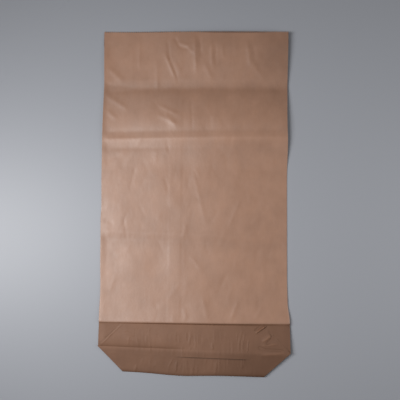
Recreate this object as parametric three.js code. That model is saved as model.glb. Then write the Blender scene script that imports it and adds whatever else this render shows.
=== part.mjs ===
// An empty multiwall paper sack lying flat: a pasted kraft tube with a pinked open mouth and
// a hexagonal folded bottom laid over its front wall. It is one folded and glued piece.
// Millimetres, +Z up, +Y towards the mouth, the table at Z = 0.
import * as THREE from "three";

// ---- Driving dimensions -------------------------------------------------------------------
const SACK_WIDTH = 550; // flat width of the tube, side fold to side fold
const SACK_LENGTH = 1004; // mouth to the lowest point of the bottom
const BOTTOM_WIDTH = 140; // the folded bottom, upper fold to lower fold

const HALF_WIDTH = SACK_WIDTH / 2;
const HALF_BOTTOM = BOTTOM_WIDTH / 2;
const MOUTH_Y = SACK_LENGTH / 2;

// Outline. The bottom is folded slightly askew, its right corner lower than its left one.
const CENTRE_SLOPE = -0.0273; // fall of the bottom's centre line towards the right
const LOWER_LEFT_X = -203; // ends of the lower fold
const LOWER_RIGHT_X = 200;
const UPPER_LEFT_X = -211; // ends of the upper fold
const UPPER_RIGHT_X = 205;
const CENTRE_Y = -MOUTH_Y + HALF_BOTTOM - CENTRE_SLOPE * LOWER_RIGHT_X;
const UPPER_FOLD_Y = CENTRE_Y + HALF_BOTTOM;
const UPPER_FOLD_SLOPE = -0.011;
const CREASE_Y = UPPER_FOLD_Y + 5; // crease across the front wall, level
const LOWER_BOW = { x: -40, spread: 80, depth: 5 }; // belly of the lower fold
const CORNER_OUT = 1; // the bottom's corners stand out past the side folds

// How far each side fold is drawn in from the full width.
const LEFT_IN = [
  { y: -330, inward: 1.2 },
  { y: -275, inward: 3.4 },
  { y: -235, inward: 3.4 },
  { y: -190, inward: 1.6 },
  { y: -115, inward: 1 },
  { y: -50, inward: 0 },
  { y: -25, inward: 1.6 },
  { y: 20, inward: 1 },
  { y: 60, inward: 0 },
  { y: 200, inward: 0 },
  { y: 345, inward: 3 },
  { y: MOUTH_Y, inward: 0 },
];
const RIGHT_IN = [
  { y: -335, inward: 0 },
  { y: -308, inward: 5.2 },
  { y: -235, inward: 7.4 },
  { y: 60, inward: 7.6 },
  { y: 160, inward: 5.6 },
  { y: 240, inward: 8 },
  { y: 330, inward: 6.4 },
  { y: MOUTH_Y, inward: 4.8 },
];

// How high the sack springs up at the left and at the right. It lies down where it was folded
// inwards, and stands up at the middle fold and the mouth's right.
const LIFTS = [
  { y: -MOUTH_Y, left: 0, right: 8 },
  { y: -430, left: 0, right: 7.5 },
  { y: -357, left: 0, right: 3.2 },
  { y: -300, left: 0, right: 0 },
  { y: 100, left: 0, right: 0 },
  { y: 145, left: 1, right: 7 },
  { y: 184, left: 2, right: 14 },
  { y: 235, left: 2.4, right: 15.5 },
  { y: 290, left: 1.4, right: 10 },
  { y: 340, left: 0, right: 4 },
  { y: 400, left: 0, right: 10.5 },
  { y: 460, left: 0, right: 15.5 },
  { y: MOUTH_Y, left: 0, right: 16 },
];
const LIFT_FROM_X = -260; // the left side's lift passes into the right side's
const LIFT_TO_X = 120;
const UNDER_FROM_X = 180; // the back wall lies on the table up to here, and rises from here on
const SOFTENING = 10; // rounds the bends of the lines above
const CORNER_LIFT = { y: -445, spread: 60, reach: 110, height: 4 }; // the bottom's right corner
const LEFT_CURLS = [
  { y: 405, spread: 65, reach: 34, height: 3.8 },
  { y: 250, spread: 80, reach: 16, height: 1.8 },
];

// Heights of the upper surface above the back wall's underside.
const EDGE_HEIGHT = 1.7; // at the side folds
const BODY_HEIGHT = 5.2; // where the body swells most, right of its middle
const SWELL = { from: -270, full: 40, fall: 110, to: 290 };
const THINNEST = 0.8;
const CREASE_RISE = 7; // springy crease above the bottom
const CREASE_SIDE_RISE = 4.8; // the same at the side folds
const CREASE_REACH = 75; // how far up the body that crease is felt
const SHOULDER = 60; // from a side fold up to the full height
const BED_UPPER = 5.2; // the front wall below the bottom's upper fold, centre and lower fold
const BED_CENTRE = 3.4;
const BED_LOWER = 1.2;
const BED_SIDE = { from: -10, to: 20 }; // it comes down to the side folds
const LAYERS = 1.6; // the bottom's ears and flaps
const LOWER_FOLD = { reach: 8.5, depth: 0.9 }; // how the lower fold is rounded off
const SOFT_END = 14; // the right ear's slanted fold is flattened over this far
const FLAT_STEP_SHARE = 0.15;
const STEP_RUN = 0.8; // how far a steep step leans

// The step down along the bottom's centre line, strong at the left and faint at the right.
const CENTRE_STEP = { height: 3.6, run: 7, upTo: 50, share: 0.22 };
const CENTRE_STEP_FADE = { from: -80, to: -10, endFrom: 50, endTo: 120 };
const FLAP = { drop: 21, rise: 0.2, step: 1.1, fadeFrom: 8, fadeTo: 30 }; // free glued edge
const FLAP_SHOWN = { from: -110, full: -5, fade: 135, to: 160 };

// The pinked mouth, with the front wall's edge a little behind the back wall's.
const TOOTH_PITCH = 6.45;
const TOOTH_DEPTH = 4.6;
const WALL = EDGE_HEIGHT / 2; // one wall of pressed plies
const MOUTH_FLAT = { height: 2.4, reach: 120 }; // the mouth lies flatter than the body
const LIP_DEPTH = 9; // how far the gap between the two walls goes in
const LIP_CLOSING = 30; // the walls' edges come together over this far at the side folds
const LIP_SETBACK = 0.8;
const LIP_DIP = { x: 105, spread: 95, depth: 3 };

// Creases left by storing the sack folded: ridges and, with a negative height, valleys.
const STORAGE_CREASES = [
  { y: 330, slope: 0.01, height: -1.6, spread: 16 },
  { y: 356, slope: 0.01, height: 0.7, spread: 12 },
  { y: 204, slope: 0.015, height: -0.8, spread: 10 },
  { y: 182, slope: 0.015, height: 1.4, spread: 10 },
  { y: 156, slope: 0.015, height: -1, spread: 12 },
  { y: -122, slope: -0.03, height: -1, spread: 14 },
  { y: -100, slope: -0.03, height: 0.8, spread: 10 },
];

// The larger wrinkles, ridges and valleys.
const WRINKLES = [
  { from: [-80, 418], to: [-56, 358], height: -2.2, spread: 8 },
  { from: [-98, 432], to: [-66, 374], height: 1.6, spread: 9 },
  { from: [-6, 480], to: [-1, 388], height: 1.5, spread: 9 },
  { from: [44, 462], to: [46, 402], height: 1.4, spread: 9 },
  { from: [151, 460], to: [158, 408], height: 1.4, spread: 9 },
  { from: [160, 410], to: [199, 360], height: 1.1, spread: 10 },
  { from: [-262, 392], to: [-221, 354], height: 1.3, spread: 12 },
  { from: [-268, 310], to: [-205, 270], height: 0.9, spread: 9 },
  { from: [-108, 250], to: [-52, 220], height: 1, spread: 9 },
  { from: [-6, 80], to: [28, -54], height: 0.6, spread: 10 },
  { from: [130, 0], to: [100, -70], height: 0.7, spread: 10 },
  { from: [222, -150], to: [236, -168], height: 0.8, spread: 14 },
  { from: [126, -290], to: [106, -338], height: 0.8, spread: 9 },
  { from: [194, -308], to: [176, -338], height: 0.8, spread: 9 },
];
const BOTTOM_WRINKLES = [
  { from: [180, -375], to: [208, -356], height: 1.8, spread: 6 },
  { from: [198, -401], to: [223, -383], height: 1.6, spread: 7 },
  { from: [206, -412], to: [232, -388], height: -1.2, spread: 7 },
  { from: [194, -425], to: [251, -426], height: -1.4, spread: 6 },
];
const WRINKLE_FADE = 0.25; // share of a wrinkle's length over which it dies out
const RELIEF_FADE = 20; // folds and wrinkles die out towards the side folds

// The mesh: columns across, and rows of each stretch along the sack.
const INNER_COLUMNS = 36; // between the ends of the upper fold
const OUTER_COLUMNS = 6; // from there to each side fold
const UNDER_SHARES = [0, 0.025, 0.06, 0.14, 0.22, 0.3, 0.38, 0.46, 0.54, 0.62, 0.72, 0.8, 0.9, 1];
const LIP_COLUMNS = 24;
const FLAP_SHARE = 1 - FLAP.drop / HALF_BOTTOM;
const FLAP_TOP_SHARE = FLAP_SHARE + STEP_RUN / HALF_BOTTOM;
const LOWER_ROWS = [0, 0.04, 0.12, 0.28, 0.44, 0.58, FLAP_SHARE, FLAP_TOP_SHARE, 0.82, 0.93];
const UPPER_ROWS = [0, 0.05, 0.12, 0.24, 0.4, 0.58, 0.78, 1];
const BODY_STRETCHES = [
  { to: -290, step: 14 },
  { to: -140, step: 17 },
  { to: -84, step: 9.5 },
  { to: 100, step: 20 },
  { to: 216, step: 9.5 },
  { to: 304, step: 14 },
  { to: 364, step: 10 },
  { to: 476, step: 16 },
  { to: 486, step: 10 },
];
const COLUMN_BESIDE_FOLD = 9; // first column outside the upper fold's end, on the body

// ---- Small helpers ------------------------------------------------------------------------
const { lerp, smoothstep } = THREE.MathUtils;
const hill = (value, centre, spread) => Math.exp(-(((value - centre) / spread) ** 2));
const plateau = (value, centre, spread) => Math.exp(-(((value - centre) / spread) ** 4));
const total = (items, term) => items.reduce((sum, item) => sum + term(item), 0);

// A crease's section: a rounded top and long tails, 1 at its middle.
const crest = (distance, spread) => Math.exp(1 - Math.hypot(1, (2 * distance) / spread));

// The value named key at y along a list of places, softened where the line through them bends.
function alongSack(places, key, y) {
  const at = (level) => {
    const next = places.findIndex((place) => place.y > level);
    if (next === 0) return places[0][key];
    if (next < 0) return places.at(-1)[key];
    const [low, high] = [places[next - 1], places[next]];
    return lerp(low[key], high[key], (level - low.y) / (high.y - low.y));
  };
  return (at(y - SOFTENING) + at(y) + at(y + SOFTENING)) / 3;
}

// ---- Outline ------------------------------------------------------------------------------
const centreLine = (x) => CENTRE_Y + CENTRE_SLOPE * x;
const upperFold = (x) => UPPER_FOLD_Y + UPPER_FOLD_SLOPE * x;
const lowerFold = (x) =>
  centreLine(x) - HALF_BOTTOM - LOWER_BOW.depth * hill(x, LOWER_BOW.x, LOWER_BOW.spread);

const leftSide = (y) => -HALF_WIDTH + alongSack(LEFT_IN, "inward", y);
const rightSide = (y) => HALF_WIDTH - alongSack(RIGHT_IN, "inward", y);

const MOUTH_LEFT = leftSide(MOUTH_Y);
const MOUTH_RIGHT = rightSide(MOUTH_Y);

// A row runs across the sack. vLeft and vRight are the ends of its inner columns: the
// chamfers, the hexagon's slanted folds, or straight lines up the body. foot is how far
// outside them the next column stands.
function lowerRow(share) {
  const left = lerp(LOWER_LEFT_X, -HALF_WIDTH - CORNER_OUT, share);
  const right = lerp(LOWER_RIGHT_X, HALF_WIDTH + CORNER_OUT, share);
  const yAt = (x) => lerp(lowerFold(x), centreLine(x), share);
  return { left, right, vLeft: left, vRight: right, foot: 0, yAt, onBottom: true };
}

function upperRow(share) {
  const left = -HALF_WIDTH - CORNER_OUT * (1 - share);
  const right = HALF_WIDTH + CORNER_OUT * (1 - share);
  const vLeft = lerp(left, UPPER_LEFT_X, share);
  const vRight = lerp(right, UPPER_RIGHT_X, share);
  const foot = Math.min(STEP_RUN, (vLeft - left) / 2);
  const yAt = (x) => lerp(centreLine(x), upperFold(x), share);
  return { left, right, vLeft, vRight, foot, yAt, onBottom: true, cornersToo: share === 0 };
}

function bodyRow(yAt, foot = COLUMN_BESIDE_FOLD) {
  const left = leftSide(yAt(-HALF_WIDTH));
  const right = rightSide(yAt(HALF_WIDTH));
  return { left, right, vLeft: UPPER_LEFT_X, vRight: UPPER_RIGHT_X, foot, yAt, onBottom: false };
}

function bodyRows() {
  const rows = [];
  let from = CREASE_Y;
  for (const { to, step } of BODY_STRETCHES) {
    const count = Math.round((to - from) / step);
    for (let i = 1; i <= count; i++) {
      const y = lerp(from, to, i / count);
      rows.push(bodyRow(() => y));
    }
    from = to;
  }
  return rows;
}

const ROWS = [
  ...LOWER_ROWS.map(lowerRow),
  ...UPPER_ROWS.map(upperRow),
  bodyRow((x) => upperFold(x) + STEP_RUN, STEP_RUN),
  bodyRow(() => CREASE_Y, COLUMN_BESIDE_FOLD / 2),
  ...bodyRows(),
];

// ---- Heights ------------------------------------------------------------------------------
// What the curled corners and side folds add to a wall's height.
function curls(x, y) {
  const curled = ({ y: curlY, spread, reach, height }, fromSide) =>
    height * hill(y, curlY, spread) * Math.max(1 - Math.abs(fromSide) / reach, 0) ** 2;
  const leftCurls = total(LEFT_CURLS, (curl) => curled(curl, x + HALF_WIDTH));
  return curled(CORNER_LIFT, HALF_WIDTH - x) + leftCurls;
}

// How far the front wall has sprung up.
function lift(x, y) {
  const across = smoothstep(x, LIFT_FROM_X, LIFT_TO_X);
  return lerp(alongSack(LIFTS, "left", y), alongSack(LIFTS, "right", y), across) + curls(x, y);
}

// The back wall's height above the table. It hangs below the front wall, so it rises later.
function underside(x, y) {
  return alongSack(LIFTS, "right", y) * smoothstep(x, UNDER_FROM_X, HALF_WIDTH) + curls(x, y);
}

// The body, from a side fold across the gentle swell to the other, and its springy crease.
function bodyHeight(x, y, inside) {
  const middle = lerp(BODY_HEIGHT, MOUTH_FLAT.height, smoothstep(y, MOUTH_Y - MOUTH_FLAT.reach, MOUTH_Y));
  const swell = smoothstep(x, SWELL.from, SWELL.full) * (1 - smoothstep(x, SWELL.fall, SWELL.to));
  const rise = lerp(CREASE_SIDE_RISE, CREASE_RISE, 1 - Math.exp(-inside / SHOULDER));
  const crease = rise * Math.exp(-Math.abs(y - CREASE_Y) / CREASE_REACH);
  const folds = total(STORAGE_CREASES, (c) => c.height * crest(y - c.y - c.slope * x, c.spread));
  const relief = (folds + total(WRINKLES, (w) => wrinkle(w, x, y))) * smoothstep(inside, 0, RELIEF_FADE);
  return Math.max(lerp(EDGE_HEIGHT, middle, swell) + crease + relief, THINNEST);
}

// The front wall below the folded bottom.
function bedHeight(x, y, inside) {
  const off = (y - centreLine(x)) / HALF_BOTTOM;
  const bed = lerp(BED_CENTRE, off > 0 ? BED_UPPER : BED_LOWER, Math.min(Math.abs(off), 1));
  return Math.max(bed * smoothstep(inside, BED_SIDE.from, BED_SIDE.to), EDGE_HEIGHT);
}

function wrinkle({ from, to, height, spread }, x, y) {
  const [alongX, alongY] = [to[0] - from[0], to[1] - from[1]];
  const length = Math.hypot(alongX, alongY);
  const share = ((x - from[0]) * alongX + (y - from[1]) * alongY) / length ** 2;
  const aside = ((x - from[0]) * alongY - (y - from[1]) * alongX) / length;
  const begun = smoothstep(share, -WRINKLE_FADE, WRINKLE_FADE);
  const ended = smoothstep(share, 1 - WRINKLE_FADE, 1 + WRINKLE_FADE);
  return height * crest(aside, spread) * begun * (1 - ended);
}

// What the folded bottom adds: its layers, the step along its centre and the flap's free edge.
function bottomRelief(x, y, row) {
  const flattened = row.foot > 0 ? smoothstep(row.vRight - x, 0, SOFT_END) : 1;
  const layers = LAYERS * lerp(FLAT_STEP_SHARE, 1, flattened);
  const fade = CENTRE_STEP_FADE;
  const fading = lerp(1, CENTRE_STEP.share, smoothstep(x, fade.from, fade.to));
  const shown = fading - CENTRE_STEP.share * smoothstep(x, fade.endFrom, fade.endTo);
  const above = Math.max(y - centreLine(x), 0);
  const belowFold = 1 - smoothstep(y, upperFold(x) - CENTRE_STEP.upTo, upperFold(x));
  const puff = CENTRE_STEP.height * (1 - Math.exp(-above / CENTRE_STEP.run)) * belowFold * shown;
  const overEdge = y - (centreLine(x) - FLAP.drop);
  const alongFlap =
    smoothstep(x, FLAP_SHOWN.from, FLAP_SHOWN.full) * (1 - smoothstep(x, FLAP_SHOWN.fade, FLAP_SHOWN.to));
  const onFlap = overEdge > STEP_RUN / 2 ? 1 - smoothstep(overEdge, FLAP.fadeFrom, FLAP.fadeTo) : 0;
  const fromFold = Math.min((y - lowerFold(x)) / LOWER_FOLD.reach, 1);
  const drop = LOWER_FOLD.depth * (1 - Math.sqrt(1 - (1 - fromFold) ** 2));
  const wrinkles = total(BOTTOM_WRINKLES, (w) => wrinkle(w, x, y));
  return layers + puff + (FLAP.rise + FLAP.step * alongFlap) * onFlap - drop + wrinkles;
}

function upperHeight(x, row, onBottom) {
  const y = row.yAt(x);
  const inside = Math.max(Math.min(x - row.left, row.right - x), 0);
  const bed = bedHeight(x, y, inside);
  const body = bodyHeight(x, y, inside);
  const height = lerp(bed, body, smoothstep(y, upperFold(x), CREASE_Y));
  return height + (onBottom ? bottomRelief(x, y, row) : 0) + lift(x, y);
}

// ---- Mesh ---------------------------------------------------------------------------------
const positions = [];
const faces = [];
const known = new Map();

function point(x, y, z) {
  const key = [x, y, z].map((value) => Math.round(value * 1000)).join();
  if (!known.has(key)) {
    known.set(key, positions.length / 3);
    positions.push(x, y, z);
  }
  return known.get(key);
}

function triangle(a, b, c) {
  if (a !== b && b !== c && c !== a) faces.push(a, b, c);
}

// Fills the strip between two lines of points, both running towards +X. It faces up where
// the second line lies towards +Y, or the other way round when it is turned.
function strip(first, second, turned = false) {
  let i = 0;
  let j = 0;
  while (i < first.length - 1 || j < second.length - 1) {
    const nextFirst = (i + 1) / (first.length - 1);
    const nextSecond = (j + 1) / (second.length - 1);
    const stepFirst = j === second.length - 1 || (i < first.length - 1 && nextFirst <= nextSecond);
    const corner = stepFirst ? first[i + 1] : second[j + 1];
    if (turned) triangle(first[i], second[j], corner);
    else triangle(first[i], corner, second[j]);
    if (stepFirst) i++;
    else j++;
  }
}

// Fills a flat ring of points, seen counter-clockwise from outside.
function fan(ring) {
  for (let i = 1; i < ring.length - 1; i++) triangle(ring[0], ring[i], ring[i + 1]);
}

function upperLine(row) {
  const line = [];
  const add = (x, onBottom) => line.push(point(x, row.yAt(x), upperHeight(x, row, onBottom)));
  const sideOnBottom = row.onBottom && (row.foot === 0 || row.cornersToo);
  for (let i = 0; i <= OUTER_COLUMNS; i++) {
    add(lerp(row.left, row.vLeft - row.foot, i / OUTER_COLUMNS), sideOnBottom);
  }
  for (let i = 0; i <= INNER_COLUMNS; i++) {
    add(lerp(row.vLeft, row.vRight, i / INNER_COLUMNS), row.onBottom);
  }
  for (let i = 0; i <= OUTER_COLUMNS; i++) {
    add(lerp(row.vRight + row.foot, row.right, i / OUTER_COLUMNS), sideOnBottom);
  }
  return line;
}

function underLine(row) {
  return UNDER_SHARES.map((share) => {
    const x = lerp(row.left, row.right, share);
    return point(x, row.yAt(x), underside(x, row.yAt(x)));
  });
}

// One wall's pinked edge, as the points of its teeth.
function pinkedLine(edgeAt, heightAt) {
  const halfTeeth = 2 * Math.round(SACK_WIDTH / TOOTH_PITCH);
  return Array.from({ length: halfTeeth + 1 }, (_, i) => {
    const x = lerp(MOUTH_LEFT, MOUTH_RIGHT, i / halfTeeth);
    const y = edgeAt(x) - (i % 2 ? 0 : TOOTH_DEPTH);
    return point(x, y, heightAt(x));
  });
}

function closeMouth(upper, under) {
  const closing = (x) => smoothstep(Math.min(x - MOUTH_LEFT, MOUTH_RIGHT - x), 0, LIP_CLOSING);
  const dip = (x) => LIP_DIP.depth * plateau(x, LIP_DIP.x, LIP_DIP.spread);
  const floor = (x) => underside(x, MOUTH_Y);
  const swollen = (x) => lift(x, MOUTH_Y) + bodyHeight(x, MOUTH_Y, 0) - EDGE_HEIGHT;
  const gap = (x) => (swollen(x) - floor(x)) * closing(x);
  const backEdge = () => MOUTH_Y;
  const frontEdge = (x) => MOUTH_Y - (LIP_SETBACK + dip(x)) * closing(x);
  const frontTop = pinkedLine(frontEdge, (x) => floor(x) + EDGE_HEIGHT + gap(x));
  const frontUnder = pinkedLine(frontEdge, (x) => floor(x) + WALL + gap(x));
  const backTop = pinkedLine(backEdge, (x) => floor(x) + WALL);
  const backUnder = pinkedLine(backEdge, floor);
  const gapEnd = Array.from({ length: LIP_COLUMNS + 1 }, (_, i) => {
    const x = lerp(MOUTH_LEFT, MOUTH_RIGHT, i / LIP_COLUMNS);
    const y = frontEdge(x) - TOOTH_DEPTH - LIP_DEPTH * closing(x);
    return point(x, y, floor(x) + WALL + gap(x) / 2);
  });
  strip(upper, frontTop);
  strip(frontUnder, frontTop, true);
  strip(gapEnd, frontUnder, true);
  strip(gapEnd, backTop);
  strip(backUnder, backTop, true);
  strip(under, backUnder, true);
  const ends = [under, upper, frontTop, backTop, backUnder];
  fan(ends.map((line) => line[0]));
  fan(ends.map((line) => line.at(-1)).reverse());
}

function sackGeometry() {
  const upper = ROWS.map(upperLine);
  const under = ROWS.map(underLine);
  strip(under[0], upper[0]);
  for (let i = 1; i < ROWS.length; i++) {
    strip(upper[i - 1], upper[i]);
    strip(under[i - 1], under[i], true);
    fan([under[i - 1][0], upper[i - 1][0], upper[i][0], under[i][0]]);
    fan([under[i - 1].at(-1), under[i].at(-1), upper[i].at(-1), upper[i - 1].at(-1)]);
  }
  closeMouth(upper.at(-1), under.at(-1));
  const geometry = new THREE.BufferGeometry();
  geometry.setAttribute("position", new THREE.Float32BufferAttribute(positions, 3));
  geometry.setIndex(faces);
  geometry.computeVertexNormals();
  return geometry;
}

// ---- The sack -----------------------------------------------------------------------------
const kraftPaper = new THREE.MeshStandardMaterial({ color: 0xae8269, roughness: 0.8, metalness: 0 });

const sack = new THREE.Mesh(sackGeometry(), kraftPaper);
sack.name = "sack";

const group = new THREE.Group();
group.add(sack);

export default group;
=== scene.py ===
import math

import bmesh
import bpy
import numpy as np
from mathutils import Matrix, Vector


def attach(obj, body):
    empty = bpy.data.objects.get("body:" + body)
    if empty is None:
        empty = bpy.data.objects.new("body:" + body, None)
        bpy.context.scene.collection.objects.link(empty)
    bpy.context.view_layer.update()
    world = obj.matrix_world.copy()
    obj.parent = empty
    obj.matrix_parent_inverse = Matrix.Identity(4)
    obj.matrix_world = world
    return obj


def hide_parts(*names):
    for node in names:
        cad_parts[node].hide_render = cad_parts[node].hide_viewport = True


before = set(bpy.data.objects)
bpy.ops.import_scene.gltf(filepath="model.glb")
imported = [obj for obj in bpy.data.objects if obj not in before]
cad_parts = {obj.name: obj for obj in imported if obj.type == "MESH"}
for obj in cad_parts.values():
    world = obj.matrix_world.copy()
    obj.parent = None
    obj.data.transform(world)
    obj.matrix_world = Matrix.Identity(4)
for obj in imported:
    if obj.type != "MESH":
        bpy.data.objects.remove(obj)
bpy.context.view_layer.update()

# ---- The view -----------------------------------------------------------------------------
# The sack lies on a table under a camera that looks down almost straight, leaning a little
# so that the mouth is farther away than the folded bottom.
CAMERA_PLACE = Vector((0.0154, -0.1000, 1.5968))
CAMERA_AIM = Vector((0.0139, 0.0020, 0.0))
CAMERA_ROLL = math.radians(-0.33)
CAMERA_LENS = 49.34
CAMERA_SENSOR = 36.0

camera_data = bpy.data.cameras.new("overhead_camera")
camera_data.lens = CAMERA_LENS
camera_data.sensor_width = CAMERA_SENSOR
camera = bpy.data.objects.new("overhead_camera", camera_data)
bpy.context.scene.collection.objects.link(camera)
aim = (CAMERA_AIM - CAMERA_PLACE).to_track_quat("-Z", "Y").to_matrix().to_4x4()
camera.matrix_world = Matrix.Translation(CAMERA_PLACE) @ aim @ Matrix.Rotation(CAMERA_ROLL, 4, "Z")
bpy.context.scene.camera = camera
bpy.context.scene.view_settings.view_transform = "Standard"

# ---- The tube -----------------------------------------------------------------------------
# The body of the sack: three plies of kraft paper wrapped round into one tube with a pasted
# seam up its front, pressed flat, and cut off at the mouth with a pinking blade. It was
# stored folded, so it has creases across it, and the stiff bottom makes it spring up.
SACK_WIDTH = 0.550
SACK_LENGTH = 1.004
BOTTOM_WIDTH = 0.140
HALF_WIDTH = SACK_WIDTH / 2
HALF_BOTTOM = BOTTOM_WIDTH / 2
MOUTH_Y = SACK_LENGTH / 2

# The bottom is folded slightly askew, its right corner lower than its left one.
CENTRE_SLOPE = -0.0273
LOWER_LEFT_X, LOWER_RIGHT_X = -0.203, 0.200
UPPER_LEFT_X, UPPER_RIGHT_X = -0.211, 0.205
CENTRE_Y = -MOUTH_Y + HALF_BOTTOM - CENTRE_SLOPE * LOWER_RIGHT_X
UPPER_FOLD_Y = CENTRE_Y + HALF_BOTTOM
UPPER_FOLD_SLOPE = -0.011
CREASE_Y = UPPER_FOLD_Y + 0.005
LOWER_BOW = {"x": -0.040, "spread": 0.080, "depth": 0.005}
CORNER_OUT = 0.001
# How far each side fold is drawn in from the full width, by y.
LEFT_IN = [
    (-0.330, 0.0012),
    (-0.275, 0.0034),
    (-0.235, 0.0034),
    (-0.190, 0.0016),
    (-0.115, 0.0010),
    (-0.050, 0.0),
    (-0.025, 0.0016),
    (0.020, 0.0010),
    (0.060, 0.0),
    (0.200, 0.0),
    (0.345, 0.0030),
    (0.502, 0.0),
]
RIGHT_IN = [
    (-0.335, 0.0),
    (-0.308, 0.0052),
    (-0.235, 0.0074),
    (0.060, 0.0076),
    (0.160, 0.0056),
    (0.240, 0.0080),
    (0.330, 0.0064),
    (0.502, 0.0048),
]

# Heights above the table.
EDGE_HEIGHT = 0.0017
BODY_HEIGHT = 0.0052
BODY_RISE = (-0.270, 0.040)  # the body swells gently from the left side fold to here
BODY_FALL = (0.110, 0.290)  # and comes down again to the right one
THINNEST = 0.0008
MOUTH_FLAT = {"height": 0.0024, "reach": 0.120}  # the body lies flatter at the mouth
SHOULDER = 0.060  # from a side fold up to the full height
CREASE_RISE = 0.0070  # the springy crease above the bottom
CREASE_SIDE_RISE = 0.0048  # the same at the side folds
CREASE_REACH = 0.075
HEXAGON_BED = (0.0052, 0.0034, 0.0012)  # under the upper fold, the centre line, the lower fold
BED_SIDE = (-0.010, 0.020)  # the bed comes down to the side folds over this
SEAM = {"from": -0.077, "to": -0.041, "height": 0.00035, "run": (0.0045, 0.0020), "mean": 0.55}
SEAM_MARKS = [(0.30, 31.0, 0.0), (0.15, 83.0, 1.0)]  # share, waves along the sack and phase

# How high the back wall stands off the table, at the left and at the right, by y. It touches
# down where it was folded inwards, and stands up at the middle fold and the mouth's right.
LIFT_LINE = [
    (-0.502, 0.0, 0.0080),
    (-0.430, 0.0, 0.0075),
    (-0.357, 0.0, 0.0032),
    (-0.300, 0.0, 0.0),
    (0.100, 0.0, 0.0),
    (0.145, 0.0010, 0.0070),
    (0.184, 0.0020, 0.0140),
    (0.235, 0.0024, 0.0155),
    (0.290, 0.0014, 0.0100),
    (0.340, 0.0, 0.0040),
    (0.400, 0.0, 0.0105),
    (0.460, 0.0, 0.0155),
    (0.502, 0.0, 0.0160),
]
SOFTENING = 0.010
LIFT_ACROSS = (-0.260, 0.120)  # from the left side's lift to the right side's
# Where a side fold or the bottom's right corner curls up further: y, spread, height, reach.
CORNER_CURL = (-0.445, 0.060, 0.0040, 0.110)
LEFT_CURLS = [
    (0.405, 0.065, 0.0038, 0.034),
    (0.250, 0.080, 0.0018, 0.016),
]

# Creases across the sack from its storage: y, slope, height, spread.
STORAGE_CREASES = [
    (0.330, 0.010, -0.0016, 0.016),
    (0.356, 0.010, 0.0003, 0.012),
    (0.204, 0.015, -0.0008, 0.010),
    (0.182, 0.015, 0.0014, 0.010),
    (0.156, 0.015, -0.0010, 0.012),
    (-0.122, -0.030, -0.0010, 0.014),
    (-0.100, -0.030, 0.0008, 0.010),
]
# Painted shade and painted highlights along them, and painted shade at the mouth: y, slope, how much
# paler (above 0) or darker, spread towards the bottom and spread towards the mouth.
PAINTED_SHADING_BANDS = [
    (0.328, 0.010, -1.30, 0.062, 0.020),
    (0.204, 0.015, -0.45, 0.010, 0.014),
    (0.180, 0.015, 0.65, 0.0075, 0.0050),
    (0.152, 0.015, -0.45, 0.022, 0.012),
    (-0.070, -0.030, -0.40, 0.060, 0.055),
    (-0.122, -0.030, -0.50, 0.018, 0.014),
    (0.520, 0.000, -0.75, 0.075, 0.075),
]

# The larger wrinkles: from, to, height (a valley where negative) and spread.
WRINKLES = [
    ((-0.086, 0.470), (-0.079, 0.418), -0.0010, 0.0050),
    ((-0.080, 0.418), (-0.056, 0.358), -0.0012, 0.0050),
    ((-0.090, 0.428), (-0.063, 0.366), 0.0017, 0.0055),
    ((-0.062, 0.406), (-0.047, 0.376), 0.0005, 0.0060),
    ((-0.065, 0.480), (-0.050, 0.454), -0.0012, 0.0045),
    ((-0.050, 0.452), (-0.024, 0.447), -0.0010, 0.0040),
    ((-0.056, 0.466), (-0.022, 0.458), 0.0009, 0.0045),
    ((-0.028, 0.454), (-0.010, 0.437), 0.0008, 0.0050),
    ((-0.006, 0.484), (-0.001, 0.388), 0.0020, 0.0080),
    ((0.009, 0.478), (0.012, 0.430), -0.0013, 0.0055),
    ((0.044, 0.462), (0.046, 0.402), 0.0014, 0.0065),
    ((0.056, 0.456), (0.056, 0.406), -0.0011, 0.0050),
    ((0.074, 0.460), (0.080, 0.422), 0.0008, 0.0060),
    ((0.151, 0.462), (0.158, 0.404), 0.0019, 0.0090),
    ((0.167, 0.452), (0.172, 0.408), -0.0009, 0.0060),
    ((0.160, 0.410), (0.199, 0.360), 0.0011, 0.0100),
    ((-0.169, 0.470), (-0.169, 0.396), 0.0010, 0.0060),
    ((-0.117, 0.410), (-0.114, 0.322), 0.0008, 0.0080),
    ((-0.262, 0.392), (-0.221, 0.354), 0.0013, 0.0120),
    ((-0.272, 0.346), (-0.244, 0.328), -0.0020, 0.0040),
    ((0.024, 0.405), (0.044, 0.360), 0.0008, 0.0100),
    ((-0.104, 0.276), (-0.052, 0.250), 0.0009, 0.0060),
    ((-0.090, 0.256), (-0.058, 0.214), 0.0008, 0.0080),
    ((-0.262, 0.262), (-0.236, 0.240), 0.0008, 0.0080),
    ((-0.014, 0.290), (-0.011, 0.210), -0.0006, 0.0050),
    ((-0.268, 0.310), (-0.205, 0.270), 0.0009, 0.0090),
    ((-0.108, 0.250), (-0.052, 0.220), 0.0010, 0.0080),
    ((-0.006, 0.080), (0.028, -0.054), 0.0006, 0.0090),
    ((0.000, 0.095), (0.012, 0.068), 0.0004, 0.0060),
    ((0.130, 0.000), (0.100, -0.070), 0.0007, 0.0080),
    ((0.168, -0.060), (0.216, -0.024), 0.0007, 0.0080),
    ((0.195, -0.150), (0.202, -0.235), 0.0005, 0.0080),
    ((0.222, -0.150), (0.236, -0.168), 0.0008, 0.0140),
    ((0.126, -0.290), (0.106, -0.338), 0.0008, 0.0070),
    ((0.194, -0.308), (0.176, -0.338), 0.0008, 0.0070),
    ((0.024, -0.278), (0.038, -0.338), 0.0007, 0.0090),
    ((-0.010, -0.165), (0.020, -0.200), 0.0006, 0.0070),
    ((-0.266, -0.058), (-0.240, -0.066), -0.0006, 0.0050),
]
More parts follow.
